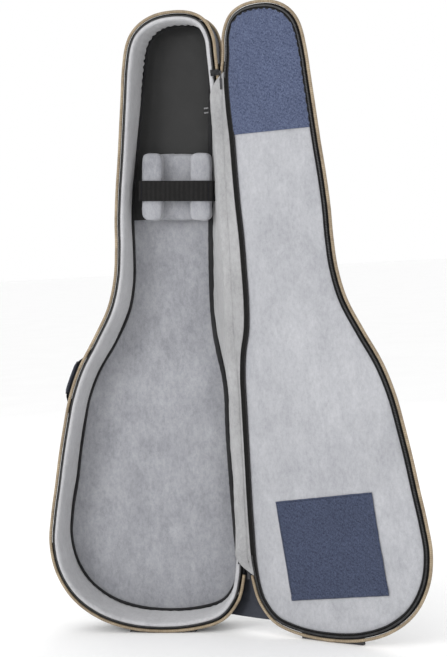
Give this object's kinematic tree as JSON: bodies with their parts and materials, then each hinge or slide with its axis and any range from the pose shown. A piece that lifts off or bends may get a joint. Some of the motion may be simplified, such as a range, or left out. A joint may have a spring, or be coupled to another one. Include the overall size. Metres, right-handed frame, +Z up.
{
  "type": "padded bass guitar gig bag",
  "caption": "Padded gig bag for an electric bass, opened like a book: deep plush-lined tray with a neck cradle and strap, and a hinged padded lid with piping and zip.",
  "frame": {"origin": "centre of the tray's rubber foot, on the floor", "axes": "+Z up along the bag and along the lid's hinge, -Y out of the tray's open front, -X along the tray from the hinge"},
  "size_m": [0.7951, 0.2791, 1.2561],
  "materials": {
    "outer_cloth": "woven polyester, matt",
    "plush_tray": "short velour plush",
    "plush_lid": "short velour plush",
    "foam": "closed-cell foam padding",
    "black_vinyl": "smooth black synthetic leather",
    "tan_piping": "tan synthetic leather piping",
    "black_piping": "black cloth piping",
    "zip_tape": "black woven zip tape",
    "zip_chain": "black coil zip",
    "webbing": "ribbed nylon webbing",
    "blue_cloth": "blue melange cloth",
    "rubber": "moulded rubber",
    "metal": "dark nickel",
    "plastic": "moulded plastic"
  },
  "bodies": {
    "tray": {"tray_gusset_shell": "outer_cloth", "tray_back_shell": "outer_cloth", "tray_wall_foam": "foam", "tray_wall_lining": "plush_tray", "tray_back_foam": "foam", "tray_back_lining": "plush_tray", "head_panel": "black_vinyl", "tray_rim_piping": "tan_piping", "tray_back_piping": "tan_piping", "tray_seam_piping": "black_piping", "tray_zip_tape": "zip_tape", "tray_zip_chain": "zip_chain", "spine_tape": "zip_tape", "cradle_base": "plush_tray", "cradle_lobe_far": "plush_tray", "cradle_lobe_near": "plush_tray", "strap_anchor": "webbing", "strap_hook_patch": "webbing", "handle_tabs": "outer_cloth", "top_loop_tab": "outer_cloth", "shoulder_pad_far": "outer_cloth", "shoulder_pad_near": "outer_cloth", "shoulder_tail_far": "webbing", "shoulder_tail_near": "webbing", "buckle_far": "plastic", "buckle_near": "plastic", "shoulder_yoke": "outer_cloth", "tray_boot": "rubber", "tray_foot": "rubber"},
    "lid": {"lid_panel_shell": "outer_cloth", "lid_edge_band": "outer_cloth", "lid_foam": "foam", "lid_lining": "plush_lid", "lid_rim_piping": "tan_piping", "lid_front_piping": "tan_piping", "lid_zip_tape": "zip_tape", "lid_zip_chain": "zip_chain", "lid_head_panel": "blue_cloth", "lid_patch": "blue_cloth", "spine_gusset": "plush_tray", "lid_foot": "rubber", "pocket_body": "outer_cloth", "pocket_zip": "zip_tape"},
    "neck_strap": {"neck_strap": "webbing"},
    "handle": {"handle_webbing": "webbing", "handle_grip": "outer_cloth"},
    "top_loop": {"top_loop": "webbing"},
    "top_slider": {"top_slider": "metal"},
    "top_pull": {"top_pull": "plastic"},
    "low_slider": {"low_slider": "metal"},
    "low_pull": {"low_pull": "plastic"},
    "pocket_slider": {"pocket_slider": "metal"},
    "pocket_pull": {"pocket_pull": "plastic"}
  },
  "joints": [
    {"name": "lid_hinge", "type": "hinge", "parent": "tray", "child": "lid", "pos_m": [0.19, -0.056, 0.6], "axis": [0, 0, 1], "range_deg": [-157, 23]},
    {"name": "neck_strap_hinge", "type": "hinge", "parent": "tray", "child": "neck_strap", "pos_m": [0.00423, -0.0259, 0.90302], "axis": [-0.0593, 0, -0.9982], "range_deg": [0, 100]},
    {"name": "side_handle_swing", "type": "hinge", "parent": "tray", "child": "handle", "pos_m": [-0.14471, -0.004, 0.51733], "axis": [0.3969, 0, 0.9179], "range_deg": [-12, 12]},
    {"name": "top_loop_swing", "type": "hinge", "parent": "tray", "child": "top_loop", "pos_m": [0.086, 0.0535, 1.193], "axis": [1, 0, 0], "range_deg": [0, 120]},
    {"name": "top_slider_travel", "type": "slide", "parent": "tray", "child": "top_slider", "axis": [-0.0517, 0, 0.9987], "range_m": [0, 0.03]},
    {"name": "top_pull_swing", "type": "hinge", "parent": "top_slider", "child": "top_pull", "pos_m": [0.19182, -0.05565, 1.12582], "axis": [0, 1, 0], "range_deg": [0, 70]},
    {"name": "low_slider_travel", "type": "slide", "parent": "tray", "child": "low_slider", "axis": [-0.0983, 0, -0.9952], "range_m": [0, 0.014]},
    {"name": "low_pull_swing", "type": "hinge", "parent": "low_slider", "child": "low_pull", "pos_m": [0.19244, -0.05565, 0.14581], "axis": [0, 1, 0], "range_deg": [0, 70]},
    {"name": "pocket_slider_travel", "type": "slide", "parent": "lid", "child": "pocket_slider", "axis": [0.9149, -0.3884, 0.1097], "range_m": [0, 0.216]},
    {"name": "pocket_pull_swing", "type": "hinge", "parent": "pocket_slider", "child": "pocket_pull", "pos_m": [0.27901, -0.04186, 0.42025], "axis": [0.9149, -0.3884, 0.1097], "range_deg": [0, 100]}
  ]
}
